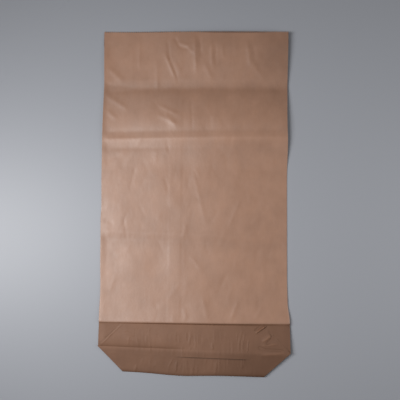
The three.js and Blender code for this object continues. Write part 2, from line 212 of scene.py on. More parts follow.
# Wider places of painted shade, and one of painted light: x, y, spread across, spread along, how much
# paler (above 0) or darker.
PAINTED_SHADING_PATCHES = [
    (0.285, 0.430, 0.100, 0.120, -2.6),
    (-0.210, 0.470, 0.110, 0.090, 0.9),
    (0.290, 0.050, 0.030, 0.420, -0.8),
]
WRINKLE_FADE = 0.25  # share of a wrinkle's length over which it dies out
RELIEF_FADE = 0.020  # folds and wrinkles die out towards the side folds
CRUMPLES = {"count": 260, "seed": 11, "height": 0.00020, "turn": 0.45}
CRUMPLE_LENGTH = (0.018, 0.060)
CRUMPLE_SPREAD = (0.005, 0.011)
SWELLS = {"count": 150, "seed": 5, "height": 0.00045}
SWELL_SPREAD = (0.018, 0.050)
SWELL_STRETCH = (1.0, 2.2)

# The folded bottom has a step along its centre line: how high, over what run, and where it
# fades, at first to a part of it. The bottom's paper is darkened partly for paste and partly as painted
# shade, with more painted shade towards the right, just above that step and along the lower fold.
CENTRE_STEP = {"height": 0.0036, "run": 0.0070, "rest": 0.22, "up_to": 0.050}
STEP_FADE = (-0.080, -0.010)
STEP_END = (0.050, 0.120)
RIGHT_PAINTED_SHADE = {"from": -0.020, "to": 0.220, "more": 0.36}
STEP_PAINTED_SHADE = {"more": 0.32, "reach": 0.0070}
FOLD_PAINTED_SHADE = {"more": 0.75, "reach": 0.0045}
LOWER_HALF_DARKER = {"more": 0.26, "run": 0.012}  # and all of the half below the centre line is darker
BOTTOM_DARKENING_END = 0.001  # the darkened paper ends this sharply at the crease

# The mouth: pinked teeth, the front wall's edge a little behind the back wall's.
TOOTH_PITCH = 0.00645
TOOTH_DEPTH = 0.0046
LIP_THICKNESS = 0.0004
LIP_SETBACK = 0.0008
LIP_DIP = {"x": 0.105, "spread": 0.095, "depth": 0.003}
LIP_ENDS = 8  # how squarely the front edge comes back to the other at the side folds
LIP_DEPTH = 0.045  # the inside of the walls is made down to here
LIP_ROW = 0.009

HALF_TEETH = 2 * round(SACK_WIDTH / TOOTH_PITCH)
SIDE_FOLD_SHARES = (0.0, 0.0004, 0.0010, 0.0018, 0.0030)  # extra columns round a side fold
TUBE_ROWS = (6, 14, 6, 194, 1)  # of each stretch from the lower fold to the mouth
CREASE_PAINTED_HIGHLIGHT = {"painted_light_and_shade": 0.35, "spread": 0.003}  # a painted highlight along the crease above the bottom
MERGED = 1e-6
INSIDE_PAINTED_SHADE = -5.0  # painted shade on the inside of the mouth, seen between the teeth
SHARP_ANGLE = math.radians(50.0)  # cut edges are sharp, folds are not


def hill(value, centre, spread):
    return np.exp(-(((value - centre) / spread) ** 2))


def plateau(value, centre, spread):
    return np.exp(-(((value - centre) / spread) ** 4))


def ease(value, low, high):
    share = np.clip((value - low) / (high - low), 0.0, 1.0)
    return share * share * (3 - 2 * share)


def centre_line(x):
    return CENTRE_Y + CENTRE_SLOPE * x


def upper_fold(x):
    return UPPER_FOLD_Y + UPPER_FOLD_SLOPE * x


def lower_fold(x):
    bow = LOWER_BOW["depth"] * hill(x, LOWER_BOW["x"], LOWER_BOW["spread"])
    return centre_line(x) - HALF_BOTTOM - bow


def along_sack(y, *lines):
    """Lines of values by y, softened where they bend."""
    offsets = (-SOFTENING, 0.0, SOFTENING)
    return [sum(np.interp(y + off, at, values) for off in offsets) / 3 for at, values in lines]


def left_side(y):
    return -HALF_WIDTH + along_sack(y, np.transpose(LEFT_IN))[0]


def right_side(y):
    return HALF_WIDTH - along_sack(y, np.transpose(RIGHT_IN))[0]


def curled(from_side, y, curl_y, spread, height, reach):
    return height * np.clip(1 - from_side / reach, 0, 1) ** 2 * hill(y, curl_y, spread)


def lift(x, y):
    """How far the back wall stands off the table."""
    at, left, right = np.transpose(LIFT_LINE)
    low, high = along_sack(y, (at, left), (at, right))
    height = low + (high - low) * ease(x, *LIFT_ACROSS)
    height = height + curled(HALF_WIDTH - x, y, *CORNER_CURL)
    for curl in LEFT_CURLS:
        height = height + curled(x + HALF_WIDTH, y, *curl)
    return height


def crest(distance, spread):
    """A crease's section: a rounded top and long tails, 1 at its middle."""
    return np.exp(1 - np.sqrt(1 + (2 * distance / spread) ** 2))


def wrinkle(x, y, start, end, height, spread):
    along_x, along_y = end[0] - start[0], end[1] - start[1]
    length = math.hypot(along_x, along_y)
    share = ((x - start[0]) * along_x + (y - start[1]) * along_y) / length**2
    aside = ((x - start[0]) * along_y - (y - start[1]) * along_x) / length
    begun = ease(share, -WRINKLE_FADE, WRINKLE_FADE)
    ended = ease(share, 1 - WRINKLE_FADE, 1 + WRINKLE_FADE)
    return height * crest(aside, spread) * begun * (1 - ended)


def crumples(x, y):
    """Small chance wrinkles, most of them lengthwise, and a gentle unevenness."""
    draw = np.random.default_rng(CRUMPLES["seed"])
    height = np.zeros_like(x)
    for _ in range(CRUMPLES["count"]):
        at = Vector((draw.uniform(-HALF_WIDTH, HALF_WIDTH), draw.uniform(CREASE_Y, MOUTH_Y)))
        turn = draw.normal(0.0, CRUMPLES["turn"])
        half = draw.uniform(*CRUMPLE_LENGTH) / 2
        step = Vector((math.sin(turn), math.cos(turn))) * half
        size = CRUMPLES["height"] * draw.normal(0.0, 1.0)
        height += wrinkle(x, y, at - step, at + step, size, draw.uniform(*CRUMPLE_SPREAD))
    draw = np.random.default_rng(SWELLS["seed"])
    for _ in range(SWELLS["count"]):
        at_x, at_y = draw.uniform(-HALF_WIDTH, HALF_WIDTH), draw.uniform(CREASE_Y, MOUTH_Y)
        spread = draw.uniform(*SWELL_SPREAD)
        stretch = draw.uniform(*SWELL_STRETCH)
        size = SWELLS["height"] * draw.normal(0.0, 1.0)
        height += size * hill(x, at_x, spread) * hill(y, at_y, spread * stretch)
    return height


def seam(x, y):
    """The overlap of the tube's long edges, more marked in some places than in others."""
    run_on, run_off = SEAM["run"]
    on = ease(x, SEAM["from"] - run_on, SEAM["from"] + run_on)
    off = ease(x, SEAM["to"] - run_off, SEAM["to"] + run_off)
    marked = SEAM["mean"] + sum(share * np.sin(y * waves + phase) for share, waves, phase in SEAM_MARKS)
    return SEAM["height"] * marked * (on - off)


def hexagon_bed(x, y):
    """The tube's front wall under the folded bottom."""
    upper, middle, lower = HEXAGON_BED
    above = np.clip((y - centre_line(x)) / HALF_BOTTOM, 0, 1)
    below = np.clip((centre_line(x) - y) / HALF_BOTTOM, 0, 1)
    return middle + (upper - middle) * above + (lower - middle) * below


def front_height(x, y):
    """The front wall's height above the table, without what is folded over it."""
    inside = np.maximum(np.minimum(x - left_side(y), right_side(y) - x), 0.0)
    full = 1 - np.exp(-inside / SHOULDER)
    swell = ease(x, *BODY_RISE) * (1 - ease(x, *BODY_FALL))
    flattened = ease(y, MOUTH_Y - MOUTH_FLAT["reach"], MOUTH_Y)
    middle = BODY_HEIGHT + (MOUTH_FLAT["height"] - BODY_HEIGHT) * flattened
    thick = EDGE_HEIGHT + (middle - EDGE_HEIGHT) * swell
    rise = CREASE_SIDE_RISE + (CREASE_RISE - CREASE_SIDE_RISE) * full
    crease = rise * np.exp(-np.abs(y - CREASE_Y) / CREASE_REACH)
    folds = sum(h * crest(y - at - slope * x, spread) for at, slope, h, spread in STORAGE_CREASES)
    folds = folds + sum(wrinkle(x, y, *one) for one in WRINKLES) + crumples(x, y) + seam(x, y)
    body = np.maximum(thick + crease + folds * ease(inside, 0.0, RELIEF_FADE), THINNEST)
    bed = np.maximum(hexagon_bed(x, y) * ease(inside, *BED_SIDE), EDGE_HEIGHT)
    above_bottom = ease(y, upper_fold(x), CREASE_Y)
    return bed + (body - bed) * above_bottom + lift(x, y)


def step_shown(x):
    """How much of the step along the bottom's centre line shows."""
    rest = CENTRE_STEP["rest"]
    shown = 1 - (1 - rest) * ease(x, *STEP_FADE)
    return shown - rest * ease(x, *STEP_END)


def paste_on_bottom(x, y):
    """How much the paper is darkened for paste and as painted shade, 1 for most of the bottom."""
    above = np.maximum(y - centre_line(x), 0)
    at_step = np.exp(-above / STEP_PAINTED_SHADE["reach"]) * (y > centre_line(x)) * step_shown(x)
    at_fold = np.exp(-np.maximum(y - lower_fold(x), 0) / FOLD_PAINTED_SHADE["reach"])
    right = ease(x, RIGHT_PAINTED_SHADE["from"], RIGHT_PAINTED_SHADE["to"])
    lower = ease(centre_line(x) - y, 0.0, LOWER_HALF_DARKER["run"])
    more = RIGHT_PAINTED_SHADE["more"] * right + STEP_PAINTED_SHADE["more"] * at_step
    more = more + FOLD_PAINTED_SHADE["more"] * at_fold + LOWER_HALF_DARKER["more"] * lower
    return (1 + more) * ease(y, CREASE_Y + BOTTOM_DARKENING_END, CREASE_Y - BOTTOM_DARKENING_END)


def side_round(distance, height):
    """How far a wall draws in towards the middle of the side fold's height, 1 at the fold."""
    share = np.clip(1 - 2 * distance / height, 0, 1)
    return 1 - np.sqrt(1 - share**2)


def painted_light_and_shade(x, y):
    """How much paler (above 0) or darker the paper is painted: painted light and shade."""
    total = np.zeros_like(x)
    for at_x, at_y, wide, far, depth in PAINTED_SHADING_PATCHES:
        total = total + depth * hill(x, at_x, wide) * hill(y, at_y, far)
    for at, slope, depth, below, above in PAINTED_SHADING_BANDS:
        off = y - at - slope * x
        total = total + depth * np.exp(-((off / np.where(off < 0, below, above)) ** 2))
    return total


def tube_place(u, row):
    """Where column share u of a row lies, for rows counted from the lower fold."""
    stops = np.cumsum((0,) + TUBE_ROWS)
    neck = MOUTH_Y - LIP_ROW
    side_y = [CENTRE_Y, UPPER_FOLD_Y, CREASE_Y, neck, MOUTH_Y]
    y_level = np.interp(row, stops[1:], side_y)
    chamfer_left = np.interp(row, stops[:2], [LOWER_LEFT_X, -HALF_WIDTH - CORNER_OUT])
    chamfer_right = np.interp(row, stops[:2], [LOWER_RIGHT_X, HALF_WIDTH + CORNER_OUT])
    flare = CORNER_OUT * np.interp(row, stops[1:3], [1, 0])
    left = np.where(row < stops[1], chamfer_left, left_side(y_level) - flare)
    right = np.where(row < stops[1], chamfer_right, right_side(y_level) + flare)
    x = left + (right - left) * u
    level = [np.full_like(x, at) for at in (CREASE_Y, neck, MOUTH_Y)]
    lines = [lower_fold(x), centre_line(x), upper_fold(x), *level]
    y = lines[0]
    for number, rows in enumerate(TUBE_ROWS):
        share = np.clip((row - stops[number]) / rows, 0, 1)
        y = y + (lines[number + 1] - lines[number]) * share
    return x, y


def mouth_edge(x, front):
    """The y of the cut edge, before its teeth."""
    if not front:
        return np.full_like(x, MOUTH_Y)
    full = 1 - (x / HALF_WIDTH) ** LIP_ENDS
    dip = LIP_DIP["depth"] * plateau(x, LIP_DIP["x"], LIP_DIP["spread"])
    return MOUTH_Y - full * (LIP_SETBACK + dip)


def finish_piece(name, mesh_maker, *materials):
    """Makes the object, rides it on the sack's body and names what it stands for."""
    for face in mesh_maker.faces:
        face.smooth = True
    for edge in mesh_maker.edges:
        edge.smooth = edge.calc_face_angle(0.0) < SHARP_ANGLE
    mesh = bpy.data.meshes.new(name)
    mesh_maker.to_mesh(mesh)
    mesh_maker.free()
    for material in materials:
        mesh.materials.append(material)
    piece = bpy.data.objects.new(name, mesh)
    bpy.context.scene.collection.objects.link(piece)
    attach(piece, "root")
    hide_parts("sack")
    return piece


# Kraft paper: cloudy brown fibre with fine lengthwise streaks, a few darker flecks, and a soft
# calendered sheen.
# Painted light and shade along creases, wrinkles and the mouth's inside is mixed into its colour.
def new_node(tree, kind, **values):
    node = tree.nodes.new(kind)
    for key, value in values.items():
        setattr(node, key, value)
    return node


PASTE_AND_SHADE_TINT = (0.625, 0.60, 0.573)  # what is left of the colour where paste has soaked in and shade is painted
PASTE_ROUGH = 0.16
PAINTED_SHADING_STRENGTH = 0.7  # how far painted shading of 1 goes from the deep colour towards the pale one
NOISE_ROUGHNESS = 0.6
# Each pattern: its noise's scale, detail and stretch, the noise's range, and what it becomes.
CLOUDS = (20.0, 3.0, (1.0, 0.8, 1.0)), (0.3, 0.7, -0.10, 0.90)
STREAKS = (420.0, 3.0, (1.0, 0.10, 1.0)), (0.3, 0.7, 0.0, 0.20)
FLECKS = (900.0, 1.0, (1.0, 0.35, 1.0)), (0.70, 0.80, 0.0, 0.5)
SHEEN = (60.0, 3.0, (1.0, 0.5, 1.0)), (0.3, 0.7, 0.44, 0.52)
GRAIN = (700.0, 4.0, (1.0, 0.2, 1.0)), (0.3, 0.7, 0.0, 0.25)
DIMPLES = (95.0, 3.0, (1.0, 0.55, 1.0)), (0.3, 0.7, 0.0, 0.75)
FIBRE_SOCKETS = {
    "INPUT": {"Vector": "Vector", "Pale": "Color", "Deep": "Color", "Painted Shading": "Float", "Paste And Shade": "Float"},
    "OUTPUT": {"Colour": "Color", "Roughness": "Float", "Height": "Float"},
}


def kraft_group():
    group = bpy.data.node_groups.new("kraft_fibre", "ShaderNodeTree")
    for in_out, sockets in FIBRE_SOCKETS.items():
        for name, kind in sockets.items():
            group.interface.new_socket(name, in_out=in_out, socket_type="NodeSocket" + kind)
    link = group.links.new
    put_in = new_node(group, "NodeGroupInput")
    put_out = new_node(group, "NodeGroupOutput")

    def pattern(noise, values):
        scale, detail, stretch = noise
        mapping = new_node(group, "ShaderNodeMapping")
        mapping.inputs["Scale"].default_value = stretch
        texture = new_node(group, "ShaderNodeTexNoise")
        texture.inputs["Scale"].default_value = scale
        texture.inputs["Detail"].default_value = detail
        texture.inputs["Roughness"].default_value = NOISE_ROUGHNESS
        link(put_in.outputs["Vector"], mapping.inputs["Vector"])
        link(mapping.outputs["Vector"], texture.inputs["Vector"])
        ranged = new_node(group, "ShaderNodeMapRange")
        for name, value in zip(("From Min", "From Max", "To Min", "To Max"), values):
            ranged.inputs[name].default_value = value
        link(texture.outputs["Fac"], ranged.inputs["Value"])
        return ranged.outputs["Result"]

    def combine(operation, first, second):
        sum_node = new_node(group, "ShaderNodeMath", operation=operation)
        for socket, value in zip(sum_node.inputs, (first, second)):
            if isinstance(value, (int, float)):
                socket.default_value = value
            else:
                link(value, socket)
        return sum_node.outputs["Value"]

    fibre = combine("ADD", pattern(*CLOUDS), pattern(*STREAKS))
    fibre = combine("SUBTRACT", fibre, pattern(*FLECKS))
    fibre = combine("ADD", fibre, combine("MULTIPLY", put_in.outputs["Painted Shading"], PAINTED_SHADING_STRENGTH))
    mix = new_node(group, "ShaderNodeMix", data_type="RGBA", clamp_factor=False)
    link(fibre, mix.inputs["Factor"])
    link(put_in.outputs["Deep"], mix.inputs[6])
    link(put_in.outputs["Pale"], mix.inputs[7])
    soak = new_node(group, "ShaderNodeMix", data_type="RGBA", blend_type="MULTIPLY", clamp_factor=False)
    soak.inputs[7].default_value = (*PASTE_AND_SHADE_TINT, 1.0)
    link(put_in.outputs["Paste And Shade"], soak.inputs["Factor"])
    link(mix.outputs[2], soak.inputs[6])
    link(soak.outputs[2], put_out.inputs["Colour"])
    pasted = combine("MULTIPLY", put_in.outputs["Paste And Shade"], PASTE_ROUGH)
    link(combine("ADD", pattern(*SHEEN), pasted), put_out.inputs["Roughness"])
    link(combine("ADD", pattern(*GRAIN), pattern(*DIMPLES)), put_out.inputs["Height"])
    return group


KRAFT_GROUP = kraft_group()
KRAFT_PALE = (0.45, 0.241, 0.153)
KRAFT_DEEP = (0.39, 0.207, 0.130)
KRAFT_BUMP = 0.00012
KRAFT_IOR = 1.56
KRAFT_SPECULAR = 1.0
PASTED_SPECULAR = 0.42  # paste takes the calendered sheen away


def kraft_material(name, specular):
    material = bpy.data.materials.new(name)
    material.use_nodes = True
    tree = material.node_tree
    shader = tree.nodes["Principled BSDF"]
    place = new_node(tree, "ShaderNodeTexCoord")
    wear = new_node(tree, "ShaderNodeAttribute", attribute_name="wear")
    paste = new_node(tree, "ShaderNodeAttribute", attribute_name="paste")
    fibre = new_node(tree, "ShaderNodeGroup", node_tree=KRAFT_GROUP)
    fibre.inputs["Pale"].default_value = (*KRAFT_PALE, 1.0)
    fibre.inputs["Deep"].default_value = (*KRAFT_DEEP, 1.0)
    bump = new_node(tree, "ShaderNodeBump")
    bump.inputs["Distance"].default_value = KRAFT_BUMP
    tree.links.new(place.outputs["Object"], fibre.inputs["Vector"])
    tree.links.new(wear.outputs["Fac"], fibre.inputs["Painted Shading"])
    tree.links.new(paste.outputs["Fac"], fibre.inputs["Paste And Shade"])
    tree.links.new(fibre.outputs["Colour"], shader.inputs["Base Color"])
    tree.links.new(fibre.outputs["Roughness"], shader.inputs["Roughness"])
    tree.links.new(fibre.outputs["Height"], bump.inputs["Height"])
    tree.links.new(bump.outputs["Normal"], shader.inputs["Normal"])
    shader.inputs["Specular IOR Level"].default_value = specular
    shader.inputs["IOR"].default_value = KRAFT_IOR
    return material


KRAFT = kraft_material("kraft_paper", KRAFT_SPECULAR)
PASTED = kraft_material("pasted_kraft", PASTED_SPECULAR)


def shares(*pieces):
    """Shares from 0 to 1, as stretches of (to, count)."""
    line = [0.0]
    for to, count in pieces:
        line.extend(np.linspace(line[-1], to, count + 1)[1:])
    return np.array(line)


def double_grid(columns, rows):
    """A grid and its copy one unit below, joined round the edge: the faces of a flat piece."""
    flat = bmesh.new()
    bmesh.ops.create_grid(flat, x_segments=columns, y_segments=rows, size=1.0)
    under = bmesh.ops.extrude_face_region(flat, geom=flat.faces[:])["geom"]
    under = [v for v in under if isinstance(v, bmesh.types.BMVert)]
    bmesh.ops.translate(flat, verts=under, vec=(0, 0, -1))
    return flat


def grid_places(flat, columns, rows):
    """The column and row of each vertex, and whether it is on the upper side."""
    unit = np.array([v.co for v in flat.verts])
    column = np.rint((unit[:, 0] + 1) / 2 * columns).astype(int)
    row = np.rint((unit[:, 1] + 1) / 2 * rows).astype(int)
    return column, row, unit[:, 2] > -0.5


def settle(flat, x, y, z, **masks):
    """Moves every vertex to its place and paints the masks that the paper's finish reads."""
    layers = {name: flat.verts.layers.float.new(name) for name in masks}
    for number, vert in enumerate(flat.verts):
        vert.co = (x[number], y[number], z[number])
        for name, values in masks.items():
            vert[layers[name]] = values[number]


tube_rows = sum(TUBE_ROWS)
HALF_ROW = 1 / tube_rows  # in the grid's own measure, which runs from -1 to 1
half_teeth = np.linspace(0, 1, HALF_TEETH + 1)
side_folds = np.array(SIDE_FOLD_SHARES)
tube_shares = np.unique(np.concatenate([half_teeth, side_folds, 1 - side_folds]))
tube_columns = len(tube_shares) - 1
tube = double_grid(tube_columns, tube_rows)
mouth_faces = [face for face in tube.faces if all(v.co.y > 1 - HALF_ROW for v in face.verts)]
bmesh.ops.delete(tube, geom=mouth_faces, context="FACES_ONLY")
column, row, is_front = grid_places(tube, tube_columns, tube_rows)
x, y = tube_place(tube_shares[column], row)
front, back = front_height(x, y), lift(x, y)
from_side = np.minimum(tube_shares[column], 1 - tube_shares[column]) * SACK_WIDTH
drawn_in = (front - back) / 2 * side_round(from_side, front - back) * (row < tube_rows)
z = np.where(is_front, front - drawn_in, back + drawn_in)
teeth = TOOTH_DEPTH * (1 - np.abs((tube_shares[column] * HALF_TEETH + 1) % 2 - 1))
mouth_line = np.where(is_front, mouth_edge(x, True), mouth_edge(x, False)) - teeth
y = np.where(row == tube_rows, mouth_line, y)
# The front wall's painted light and shade: crease bands, patches and a painted highlight on the crease.
crease_highlight = CREASE_PAINTED_HIGHLIGHT["painted_light_and_shade"] * hill(y, CREASE_Y, CREASE_PAINTED_HIGHLIGHT["spread"])
wear = (painted_light_and_shade(x, y) + crease_highlight) * is_front
settle(tube, x, y, z, wear=wear, paste=is_front * paste_on_bottom(x, y))

# The cut edge of the plies, then the inside of both walls down to where they touch.
for step in ("edge", "inside"):
    open_edges = [e for e in tube.edges if e.is_boundary]
    grown = bmesh.ops.extrude_edge_only(tube, edges=open_edges)["geom"]
    inner = [v for v in grown if isinstance(v, bmesh.types.BMVert)]
    for vert in inner:
        # The cut edge and the inside of the walls get the painted shade.
        vert[tube.verts.layers.float["wear"]] = INSIDE_PAINTED_SHADE
        x = np.array(vert.co.x)
        if step == "edge":
            is_upper = vert.co.z > lift(x, np.array(MOUTH_Y)) + LIP_THICKNESS
            vert.co.z += -LIP_THICKNESS if is_upper else LIP_THICKNESS
        else:
            vert.co.y = MOUTH_Y - LIP_DEPTH
            vert.co.z = lift(x, np.array(vert.co.y)) + EDGE_HEIGHT / 2
bmesh.ops.remove_doubles(tube, verts=inner, dist=MERGED)
bmesh.ops.recalc_face_normals(tube, faces=tube.faces[:])
for face in tube.faces:
    face.material_index = int(face.calc_center_median().y < CREASE_Y)
finish_piece("sack_tube", tube, KRAFT, PASTED)

# ---- The ears of the bottom ---------------------------------------------------------------
# The end of the tube, opened into a hexagon and laid over the front wall. Its two ears are
# the squashed corners of the tube, pressed flat to a rounded folded edge.
EAR_THICKNESS = 0.0009
FOLD_REACH = 0.0022  # how far inwards a folded edge is rounded
LOWER_FOLD_REACH = 0.0085  # the same for the lower fold, which is thick and springy
SOFT_END = 0.014  # the same for the right ear's slanted fold, which has been flattened out
WRINKLE_PAINTED_SHADING = 1000.0  # how much a ridge's height is painted paler and a valley's depth darker: painted light and shade
# The mesh's columns and rows: to this share, this many.
EAR_COLUMNS = shares(
    (0.003, 3), (0.06, 12), (0.20, 50), (0.78, 90), (0.95, 95), (0.997, 12), (1.0, 3)
)
EAR_ROWS = shares(
    (0.015, 4), (0.47, 20), (0.495, 4), (0.5, 2), (0.505, 2), (0.54, 5), (0.985, 46), (1.0, 4)
)
# The left ear's folded lines, and the crumple and the fan of wrinkles on the right one.
EAR_WRINKLES = [
    ((-0.272, -0.421), (-0.210, -0.360), 0.0010, 0.0014),
    ((-0.276, -0.412), (-0.216, -0.352), -0.0017, 0.0060),
    ((0.180, -0.375), (0.208, -0.356), 0.0048, 0.0026),
    ((0.186, -0.379), (0.213, -0.360), -0.0039, 0.0026),
    ((0.176, -0.370), (0.202, -0.352), -0.0036, 0.0026),
    ((0.198, -0.401), (0.223, -0.383), 0.0028, 0.0055),
    ((0.206, -0.412), (0.232, -0.388), -0.0028, 0.0045),
    ((0.218, -0.375), (0.226, -0.395), -0.0025, 0.0040),
    ((0.226, -0.372), (0.246, -0.392), 0.0014, 0.0060),
    ((0.198, -0.413), (0.235, -0.409), 0.0022, 0.0045),
    ((0.194, -0.425), (0.251, -0.426), -0.0031, 0.0024),
    ((0.186, -0.418), (0.200, -0.424), -0.0028, 0.0030),
    ((0.198, -0.439), (0.251, -0.435), 0.0020, 0.0050),
    ((-0.231, -0.446), (-0.220, -0.454), 0.0007, 0.0030),
    ((-0.243, -0.438), (-0.219, -0.438), 0.0006, 0.0030),
    ((-0.214, -0.476), (-0.198, -0.486), 0.0007, 0.0030),
]


def fold_edge(distance, depth, reach=FOLD_REACH):
    """What a folded edge lacks in height at this distance from it, all of depth at the edge."""
    share = np.clip(1 - distance / reach, 0, 1)
    return depth * (1 - np.sqrt(1 - share**2))


def paper_sheet(columns, rows, place):
    """A closed sheet: place gives x, y, the top's height, the thickness and the painted shading."""
    sheet = double_grid(len(columns) - 1, len(rows) - 1)
    column, row, is_top = grid_places(sheet, len(columns) - 1, len(rows) - 1)
    x, y, top, thick, wear = place(columns[column], rows[row])
    z = np.where(is_top, top, top - thick)
    # The ear wrinkles are painted paler on their ridges and darker in their valleys.
    settle(sheet, x, y, z, wear=wear + WRINKLE_PAINTED_SHADING * ear_wrinkles(x, y), paste=paste_on_bottom(x, y))
    bmesh.ops.recalc_face_normals(sheet, faces=sheet.faces[:])
    return sheet


def ear_wrinkles(x, y):
    return sum(wrinkle(x, y, *one) for one in EAR_WRINKLES)


def ear_top(x, y):
    """The ears' height: the upper half is puffed up and rolls down to the centre line."""
    off = np.maximum(y - centre_line(x), 0)
    puff = CENTRE_STEP["height"] * (1 - np.exp(-off / CENTRE_STEP["run"]))
    puff = puff * (1 - ease(y, upper_fold(x) - CENTRE_STEP["up_to"], upper_fold(x))) * step_shown(x)
    return hexagon_bed(x, y) + lift(x, y) + EAR_THICKNESS + puff + ear_wrinkles(x, y)


def ears_place(u, v):
    left = np.interp(v, [0, 0.5, 1], [LOWER_LEFT_X, -HALF_WIDTH - CORNER_OUT, UPPER_LEFT_X])
    right = np.interp(v, [0, 0.5, 1], [LOWER_RIGHT_X, HALF_WIDTH + CORNER_OUT, UPPER_RIGHT_X])
    x = left + (right - left) * u
    below = (centre_line(x) - lower_fold(x)) * np.clip(v * 2, 0, 1)
    above = (upper_fold(x) - centre_line(x)) * np.clip(v * 2 - 1, 0, 1)
    y = lower_fold(x) + below + above
    from_right = (right - x) * np.where(v > 0.5, FOLD_REACH / SOFT_END, 1.0)
    edge = np.maximum(np.minimum.reduce([x - left, from_right, upper_fold(x) - y]), 0)
    from_fold = np.maximum(y - lower_fold(x), 0)
    lower_drop = fold_edge(from_fold, EAR_THICKNESS, LOWER_FOLD_REACH)
    drop = np.maximum(fold_edge(edge, EAR_THICKNESS), lower_drop)
    return x, y, ear_top(x, y) - drop, EAR_THICKNESS - drop, np.zeros_like(x)


finish_piece("bottom_ears", paper_sheet(EAR_COLUMNS, EAR_ROWS, ears_place), PASTED)

# ---- The flaps of the bottom --------------------------------------------------------------
# The two long flaps that are pasted over each other across the hexagon, the lower one first.
# The paste makes the paper cockle in short ridges along the sack.
FLAP_THICKNESS = 0.0005
FREE_EDGE_STEP = 0.0011  # how much the upper flap stands up at its free edge, where it isn't pasted
PASTED_STEP = 0.0002  # and where it is
FREE_EDGE_FADE = (0.008, 0.030)
OVERLAP = 0.008  # of the upper flap over the lower one
# A flap's ends, as shares of its length along the sack and the x there.
LOWER_FLAP_LEFT = (0, 0.75, 1), (-0.192, -0.146, -0.130)
LOWER_FLAP_RIGHT = (0, 1), (0.196, 0.176)
UPPER_FLAP_LEFT = (0, 0.2, 1), (-0.200, -0.2145, UPPER_LEFT_X)
UPPER_FLAP_RIGHT = (0, 0.75, 1), (0.176, 0.180, UPPER_RIGHT_X)
END_SHOWN = (0.35, 0.10, 0.022)  # share of its thickness at the left and right end, and its fade
FREE_EDGE_DROP = 0.021  # how far the upper flap's free edge lies below the centre line
FREE_EDGE_SHOWN = (-0.060, -0.015, 0.135, 0.160)  # where it begins, is full, fades and ends
FREE_EDGE_PAINTED_SHADOW = {"below": 0.0009, "spread": 0.0018, "wear": -6.0}  # a painted shadow along that edge, below the flap
LOWER_FLAP_COLUMNS = shares((1.0, 196))
UPPER_FLAP_COLUMNS = shares((0.84, 160), (1.0, 64))
LOWER_FLAP_ROWS = shares((0.05, 5), (0.992, 26), (1.0, 2))
UPPER_FLAP_ROWS = shares((0.008, 2), (0.19, 6), (0.23, 3), (0.27, 4), (0.40, 8), (0.97, 40), (1.0, 4))
COCKLES = {"count": 90, "seed": 3, "height": 0.00075, "lean": 0.08}
COCKLE_ACROSS = (-0.19, 0.17)
COCKLE_LENGTH = (0.014, 0.034)
COCKLE_SPREAD = (0.0020, 0.0036)
LOWER_COCKLE_Y = (-0.492, -0.450)
UPPER_COCKLE_Y = (-0.440, -0.385)
COCKLE_FADE = 0.008  # they die out towards a flap's edges
DEEPEST = -0.0003  # a flap can't sink further into what it lies on
UPPER_COCKLES = [
    ((-0.201, -0.377), (-0.190, -0.375), 0.0005, 0.0024),
    ((-0.195, -0.383), (-0.174, -0.390), 0.0006, 0.0024),
    ((-0.191, -0.399), (-0.169, -0.403), 0.0005, 0.0024),
    ((-0.168, -0.369), (-0.168, -0.393), -0.0006, 0.0020),
    ((-0.138, -0.389), (-0.136, -0.411), 0.0006, 0.0022),
    ((-0.128, -0.368), (-0.129, -0.389), 0.0005, 0.0022),
    ((-0.101, -0.388), (-0.088, -0.409), 0.0005, 0.0026),
    ((-0.076, -0.390), (-0.073, -0.406), 0.0004, 0.0022),
    ((-0.043, -0.390), (-0.042, -0.408), 0.0004, 0.0022),
    ((0.012, -0.386), (0.011, -0.409), 0.0006, 0.0024),
    ((0.043, -0.390), (0.043, -0.412), 0.0006, 0.0022),
    ((0.123, -0.381), (0.123, -0.401), 0.0006, 0.0022),
    ((-0.100, -0.427), (-0.097, -0.447), 0.0004, 0.0026),
    ((-0.058, -0.427), (-0.063, -0.447), 0.0005, 0.0026),
    ((-0.025, -0.426), (-0.028, -0.446), 0.0004, 0.0022),
    ((0.012, -0.426), (0.011, -0.448), 0.0005, 0.0022),
    ((0.030, -0.426), (0.030, -0.446), 0.0004, 0.0022),
]
LOWER_COCKLES = [
    ((-0.061, -0.455), (-0.071, -0.475), 0.0009, 0.0026),
    ((-0.047, -0.457), (-0.048, -0.481), 0.0006, 0.0024),
    ((-0.034, -0.457), (-0.035, -0.485), 0.0006, 0.0022),
    ((-0.020, -0.456), (-0.021, -0.485), 0.0006, 0.0022),
    ((0.000, -0.454), (0.000, -0.480), 0.0006, 0.0024),
    ((0.035, -0.451), (0.035, -0.461), 0.0006, 0.0022),
    ((0.073, -0.454), (0.073, -0.486), 0.0010, 0.0026),
    ((0.126, -0.460), (0.128, -0.476), 0.0005, 0.0022),
    ((0.150, -0.460), (0.150, -0.476), 0.0004, 0.0022),
    ((0.164, -0.475), (0.164, -0.488), 0.0006, 0.0022),
    ((-0.112, -0.453), (-0.116, -0.481), 0.0005, 0.0030),
]


def free_edge(x):
    return centre_line(x) - FREE_EDGE_DROP


def free_edge_shown(x):
    begin, full, fade, end = FREE_EDGE_SHOWN
    return ease(x, begin, full) * (1 - ease(x, fade, end))


def cockles(x, y, seed, between, marked):
    """The chance cockles between two y, and the marked ones."""
    draw = np.random.default_rng(seed)
    height = sum(wrinkle(x, y, *one) for one in marked)
    for _ in range(COCKLES["count"]):
        at_x, at_y = draw.uniform(*COCKLE_ACROSS), draw.uniform(*between)
        lean = draw.normal(0.0, COCKLES["lean"])
        half = draw.uniform(*COCKLE_LENGTH) / 2
        start = (at_x - lean * half, at_y - half)
        end = (at_x + lean * half, at_y + half)
        size = COCKLES["height"] * draw.normal(0, 1)
        height += wrinkle(x, y, start, end, size, draw.uniform(*COCKLE_SPREAD))
    return height


